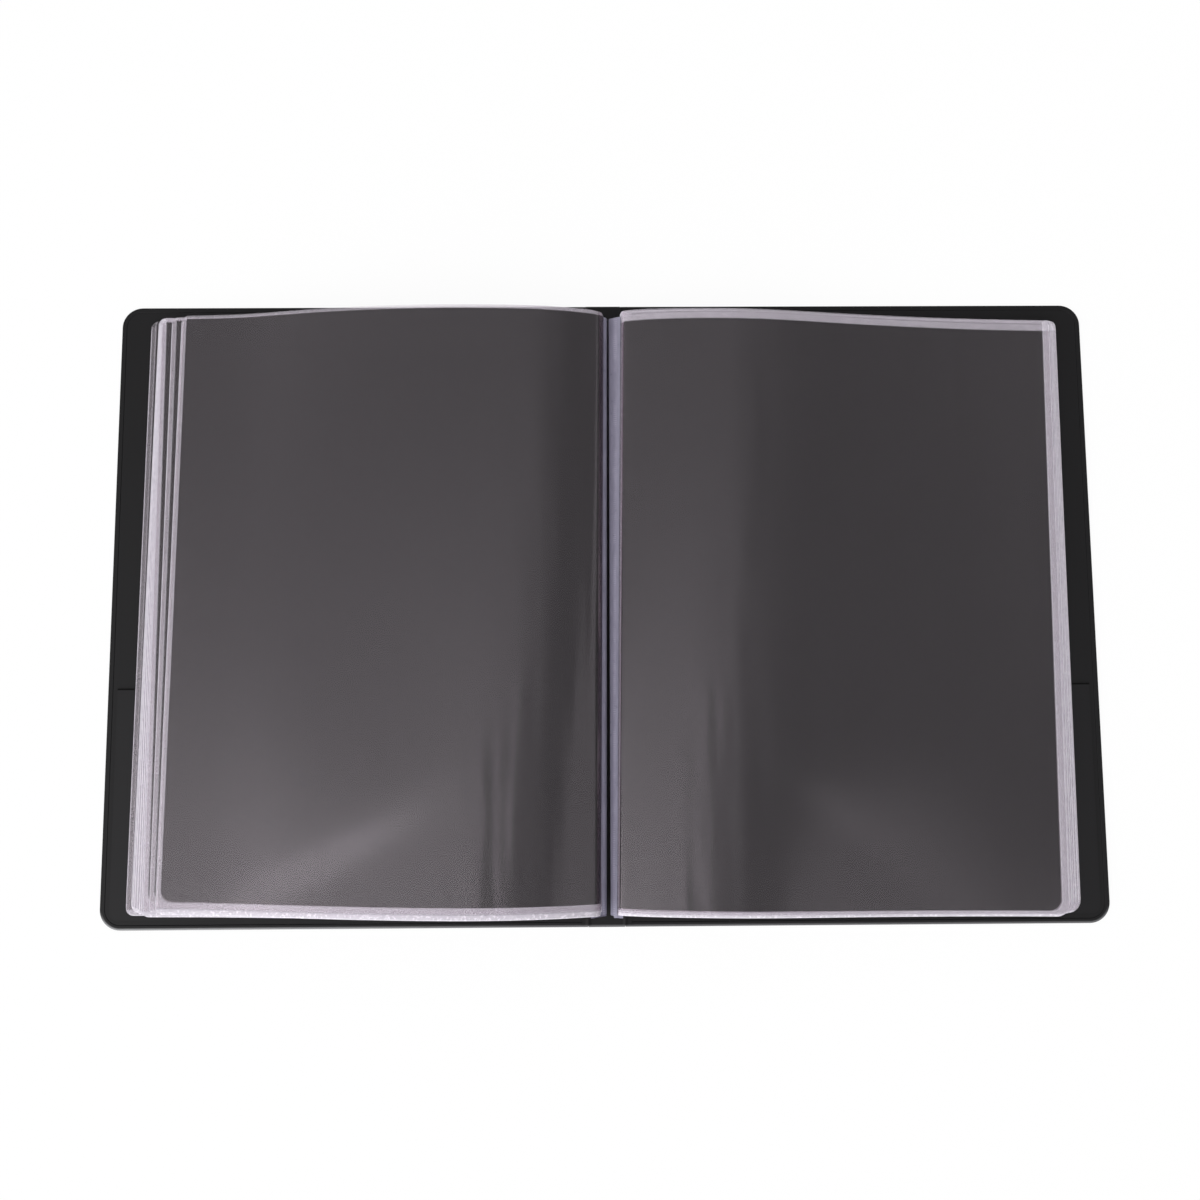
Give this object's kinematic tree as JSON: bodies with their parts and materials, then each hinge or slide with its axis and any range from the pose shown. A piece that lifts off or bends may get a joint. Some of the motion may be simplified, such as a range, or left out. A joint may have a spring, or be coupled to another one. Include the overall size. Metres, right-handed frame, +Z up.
{
  "type": "clear pocket display book",
  "caption": "Open display book with a black cover folding on two spine creases, clear top-loading pockets on turning leaves, and black insert sheets that slide out.",
  "frame": {"origin": "on the table, under the middle of the spine of the book lying open", "axes": "+X across the open book towards the back cover, +Y up the pages towards the pockets' open tops, +Z up"},
  "size_m": [0.5044, 0.32, 0.0201],
  "materials": {
    "cover_vinyl": "fine grained black",
    "board": "grey board",
    "clear_film": "clear glossy",
    "welded_film": "milky weld",
    "black_paper": "matt black"
  },
  "bodies": {
    "spine": {"spine_skin": "cover_vinyl", "spine_board": "board", "spine_liner": "cover_vinyl", "left_root_block": "welded_film", "right_root_block": "welded_film", "left_gutter_film": "welded_film", "right_gutter_film": "welded_film"},
    "front_cover": {"front_cover_skin": "cover_vinyl", "front_cover_board": "board", "front_cover_liner": "cover_vinyl", "front_inner_pocket": "cover_vinyl"},
    "back_cover": {"back_cover_skin": "cover_vinyl", "back_cover_board": "board", "back_cover_liner": "cover_vinyl", "back_inner_pocket": "cover_vinyl"},
    "left_leaf_01": {"left_pocket_01": "clear_film"},
    "left_sheet_01": {"left_insert_01": "black_paper"},
    "left_leaf_02": {"left_pocket_02": "clear_film"},
    "left_sheet_02": {"left_insert_02": "black_paper"},
    "left_leaf_03": {"left_pocket_03": "clear_film"},
    "left_sheet_03": {"left_insert_03": "black_paper"},
    "left_leaf_04": {"left_pocket_04": "clear_film"},
    "left_sheet_04": {"left_insert_04": "black_paper"},
    "left_leaf_05": {"left_pocket_05": "clear_film"},
    "left_sheet_05": {"left_insert_05": "black_paper"},
    "left_leaf_06": {"left_pocket_06": "clear_film"},
    "left_sheet_06": {"left_insert_06": "black_paper"},
    "left_leaf_07": {"left_pocket_07": "clear_film"},
    "left_sheet_07": {"left_insert_07": "black_paper"},
    "left_leaf_08": {"left_pocket_08": "clear_film"},
    "left_sheet_08": {"left_insert_08": "black_paper"},
    "left_leaf_09": {"left_pocket_09": "clear_film"},
    "left_sheet_09": {"left_insert_09": "black_paper"},
    "left_leaf_10": {"left_pocket_10": "clear_film"},
    "left_sheet_10": {"left_insert_10": "black_paper"},
    "right_leaf_01": {"right_pocket_01": "clear_film"},
    "right_sheet_01": {"right_insert_01": "black_paper"},
    "right_leaf_02": {"right_pocket_02": "clear_film"},
    "right_sheet_02": {"right_insert_02": "black_paper"},
    "right_leaf_03": {"right_pocket_03": "clear_film"},
    "right_sheet_03": {"right_insert_03": "black_paper"},
    "right_leaf_04": {"right_pocket_04": "clear_film"},
    "right_sheet_04": {"right_insert_04": "black_paper"},
    "right_leaf_05": {"right_pocket_05": "clear_film"},
    "right_sheet_05": {"right_insert_05": "black_paper"},
    "right_leaf_06": {"right_pocket_06": "clear_film"},
    "right_sheet_06": {"right_insert_06": "black_paper"},
    "right_leaf_07": {"right_pocket_07": "clear_film"},
    "right_sheet_07": {"right_insert_07": "black_paper"},
    "right_leaf_08": {"right_pocket_08": "clear_film"},
    "right_sheet_08": {"right_insert_08": "black_paper"},
    "right_leaf_09": {"right_pocket_09": "clear_film"},
    "right_sheet_09": {"right_insert_09": "black_paper"},
    "right_leaf_10": {"right_pocket_10": "clear_film"},
    "right_sheet_10": {"right_insert_10": "black_paper"}
  },
  "joints": [
    {"name": "front_cover_hinge", "type": "hinge", "parent": "spine", "child": "front_cover", "pos_m": [-0.00925, 0, 0.0018], "axis": [0, -1, 0], "range_deg": [-90, 0], "deforming": ["left_gutter_film"]},
    {"name": "back_cover_hinge", "type": "hinge", "parent": "spine", "child": "back_cover", "pos_m": [0.00925, 0, 0.0018], "axis": [0, 1, 0], "range_deg": [-90, 0], "deforming": ["right_gutter_film"]},
    {"name": "left_leaf_01_turn", "type": "hinge", "parent": "spine", "child": "left_leaf_01", "pos_m": [-0.0079, 0, 0.0126], "axis": [0, 1, 0], "range_deg": [0, 92.4]},
    {"name": "left_sheet_01_slide", "type": "slide", "parent": "left_leaf_01", "child": "left_sheet_01", "axis": [0, 1, 0], "range_m": [0, 0.3]},
    {"name": "left_leaf_02_turn", "type": "hinge", "parent": "left_leaf_01", "child": "left_leaf_02", "pos_m": [-0.007, 0, 0.0134], "axis": [0, 1, 0], "range_deg": [0, 9], "deforming": ["left_gutter_film"]},
    {"name": "left_sheet_02_slide", "type": "slide", "parent": "left_leaf_02", "child": "left_sheet_02", "axis": [0, 1, 0], "range_m": [0, 0.3]},
    {"name": "left_leaf_03_turn", "type": "hinge", "parent": "left_leaf_02", "child": "left_leaf_03", "pos_m": [-0.0061, 0, 0.0142], "axis": [0, 1, 0], "range_deg": [0, 9]},
    {"name": "left_sheet_03_slide", "type": "slide", "parent": "left_leaf_03", "child": "left_sheet_03", "axis": [0, 1, 0], "range_m": [0, 0.3]},
    {"name": "left_leaf_04_turn", "type": "hinge", "parent": "left_leaf_03", "child": "left_leaf_04", "pos_m": [-0.0052, 0, 0.015], "axis": [0, 1, 0], "range_deg": [0, 9]},
    {"name": "left_sheet_04_slide", "type": "slide", "parent": "left_leaf_04", "child": "left_sheet_04", "axis": [0, 1, 0], "range_m": [0, 0.3]},
    {"name": "left_leaf_05_turn", "type": "hinge", "parent": "left_leaf_04", "child": "left_leaf_05", "pos_m": [-0.0043, 0, 0.0158], "axis": [0, 1, 0], "range_deg": [0, 9]},
    {"name": "left_sheet_05_slide", "type": "slide", "parent": "left_leaf_05", "child": "left_sheet_05", "axis": [0, 1, 0], "range_m": [0, 0.3]},
    {"name": "left_leaf_06_turn", "type": "hinge", "parent": "left_leaf_05", "child": "left_leaf_06", "pos_m": [-0.0034, 0, 0.0166], "axis": [0, 1, 0], "range_deg": [0, 9]},
    {"name": "left_sheet_06_slide", "type": "slide", "parent": "left_leaf_06", "child": "left_sheet_06", "axis": [0, 1, 0], "range_m": [0, 0.3]},
    {"name": "left_leaf_07_turn", "type": "hinge", "parent": "left_leaf_06", "child": "left_leaf_07", "pos_m": [-0.0025, 0, 0.0174], "axis": [0, 1, 0], "range_deg": [0, 9]},
    {"name": "left_sheet_07_slide", "type": "slide", "parent": "left_leaf_07", "child": "left_sheet_07", "axis": [0, 1, 0], "range_m": [0, 0.3]},
    {"name": "left_leaf_08_turn", "type": "hinge", "parent": "left_leaf_07", "child": "left_leaf_08", "pos_m": [-0.0016, 0, 0.0182], "axis": [0, 1, 0], "range_deg": [0, 9]},
    {"name": "left_sheet_08_slide", "type": "slide", "parent": "left_leaf_08", "child": "left_sheet_08", "axis": [0, 1, 0], "range_m": [0, 0.3]},
    {"name": "left_leaf_09_turn", "type": "hinge", "parent": "left_leaf_08", "child": "left_leaf_09", "pos_m": [-0.0007, 0, 0.019], "axis": [0, 1, 0], "range_deg": [0, 9]},
    {"name": "left_sheet_09_slide", "type": "slide", "parent": "left_leaf_09", "child": "left_sheet_09", "axis": [0, 1, 0], "range_m": [0, 0.3]},
    {"name": "left_leaf_10_turn", "type": "hinge", "parent": "left_leaf_09", "child": "left_leaf_10", "pos_m": [0.0002, 0, 0.0198], "axis": [0, 1, 0], "range_deg": [0, 9]},
    {"name": "left_sheet_10_slide", "type": "slide", "parent": "left_leaf_10", "child": "left_sheet_10", "axis": [0, 1, 0], "range_m": [0, 0.3]},
    {"name": "right_leaf_01_turn", "type": "hinge", "parent": "spine", "child": "right_leaf_01", "pos_m": [0.0079, 0, 0.0126], "axis": [0, -1, 0], "range_deg": [0, 92.4]},
    {"name": "right_sheet_01_slide", "type": "slide", "parent": "right_leaf_01", "child": "right_sheet_01", "axis": [0, 1, 0], "range_m": [0, 0.3]},
    {"name": "right_leaf_02_turn", "type": "hinge", "parent": "right_leaf_01", "child": "right_leaf_02", "pos_m": [0.0076, 0, 0.0134], "axis": [0, -1, 0], "range_deg": [0, 9], "deforming": ["right_gutter_film"]},
    {"name": "right_sheet_02_slide", "type": "slide", "parent": "right_leaf_02", "child": "right_sheet_02", "axis": [0, 1, 0], "range_m": [0, 0.3]},
    {"name": "right_leaf_03_turn", "type": "hinge", "parent": "right_leaf_02", "child": "right_leaf_03", "pos_m": [0.0073, 0, 0.0142], "axis": [0, -1, 0], "range_deg": [0, 9]},
    {"name": "right_sheet_03_slide", "type": "slide", "parent": "right_leaf_03", "child": "right_sheet_03", "axis": [0, 1, 0], "range_m": [0, 0.3]},
    {"name": "right_leaf_04_turn", "type": "hinge", "parent": "right_leaf_03", "child": "right_leaf_04", "pos_m": [0.007, 0, 0.015], "axis": [0, -1, 0], "range_deg": [0, 9]},
    {"name": "right_sheet_04_slide", "type": "slide", "parent": "right_leaf_04", "child": "right_sheet_04", "axis": [0, 1, 0], "range_m": [0, 0.3]},
    {"name": "right_leaf_05_turn", "type": "hinge", "parent": "right_leaf_04", "child": "right_leaf_05", "pos_m": [0.0067, 0, 0.0158], "axis": [0, -1, 0], "range_deg": [0, 9]},
    {"name": "right_sheet_05_slide", "type": "slide", "parent": "right_leaf_05", "child": "right_sheet_05", "axis": [0, 1, 0], "range_m": [0, 0.3]},
    {"name": "right_leaf_06_turn", "type": "hinge", "parent": "right_leaf_05", "child": "right_leaf_06", "pos_m": [0.0064, 0, 0.0166], "axis": [0, -1, 0], "range_deg": [0, 9]},
    {"name": "right_sheet_06_slide", "type": "slide", "parent": "right_leaf_06", "child": "right_sheet_06", "axis": [0, 1, 0], "range_m": [0, 0.3]},
    {"name": "right_leaf_07_turn", "type": "hinge", "parent": "right_leaf_06", "child": "right_leaf_07", "pos_m": [0.0061, 0, 0.0174], "axis": [0, -1, 0], "range_deg": [0, 9]},
    {"name": "right_sheet_07_slide", "type": "slide", "parent": "right_leaf_07", "child": "right_sheet_07", "axis": [0, 1, 0], "range_m": [0, 0.3]},
    {"name": "right_leaf_08_turn", "type": "hinge", "parent": "right_leaf_07", "child": "right_leaf_08", "pos_m": [0.0058, 0, 0.0182], "axis": [0, -1, 0], "range_deg": [0, 9]},
    {"name": "right_sheet_08_slide", "type": "slide", "parent": "right_leaf_08", "child": "right_sheet_08", "axis": [0, 1, 0], "range_m": [0, 0.3]},
    {"name": "right_leaf_09_turn", "type": "hinge", "parent": "right_leaf_08", "child": "right_leaf_09", "pos_m": [0.0055, 0, 0.019], "axis": [0, -1, 0], "range_deg": [0, 9]},
    {"name": "right_sheet_09_slide", "type": "slide", "parent": "right_leaf_09", "child": "right_sheet_09", "axis": [0, 1, 0], "range_m": [0, 0.3]},
    {"name": "right_leaf_10_turn", "type": "hinge", "parent": "right_leaf_09", "child": "right_leaf_10", "pos_m": [0.0052, 0, 0.0198], "axis": [0, -1, 0], "range_deg": [0, 9]},
    {"name": "right_sheet_10_slide", "type": "slide", "parent": "right_leaf_10", "child": "right_sheet_10", "axis": [0, 1, 0], "range_m": [0, 0.3]}
  ],
  "couplings": [
    {"joint": "left_leaf_01_turn", "follows": "front_cover_hinge", "ratio": -1.0267},
    {"joint": "left_leaf_03_turn", "follows": "left_leaf_02_turn", "ratio": 1},
    {"joint": "left_leaf_04_turn", "follows": "left_leaf_02_turn", "ratio": 1},
    {"joint": "left_leaf_05_turn", "follows": "left_leaf_02_turn", "ratio": 1},
    {"joint": "left_leaf_06_turn", "follows": "left_leaf_02_turn", "ratio": 1},
    {"joint": "left_leaf_07_turn", "follows": "left_leaf_02_turn", "ratio": 1},
    {"joint": "left_leaf_08_turn", "follows": "left_leaf_02_turn", "ratio": 1},
    {"joint": "left_leaf_09_turn", "follows": "left_leaf_02_turn", "ratio": 1},
    {"joint": "left_leaf_10_turn", "follows": "left_leaf_02_turn", "ratio": 1},
    {"joint": "right_leaf_01_turn", "follows": "back_cover_hinge", "ratio": -1.0267},
    {"joint": "right_leaf_03_turn", "follows": "right_leaf_02_turn", "ratio": 1},
    {"joint": "right_leaf_04_turn", "follows": "right_leaf_02_turn", "ratio": 1},
    {"joint": "right_leaf_05_turn", "follows": "right_leaf_02_turn", "ratio": 1},
    {"joint": "right_leaf_06_turn", "follows": "right_leaf_02_turn", "ratio": 1},
    {"joint": "right_leaf_07_turn", "follows": "right_leaf_02_turn", "ratio": 1},
    {"joint": "right_leaf_08_turn", "follows": "right_leaf_02_turn", "ratio": 1},
    {"joint": "right_leaf_09_turn", "follows": "right_leaf_02_turn", "ratio": 1},
    {"joint": "right_leaf_10_turn", "follows": "right_leaf_02_turn", "ratio": 1}
  ]
}
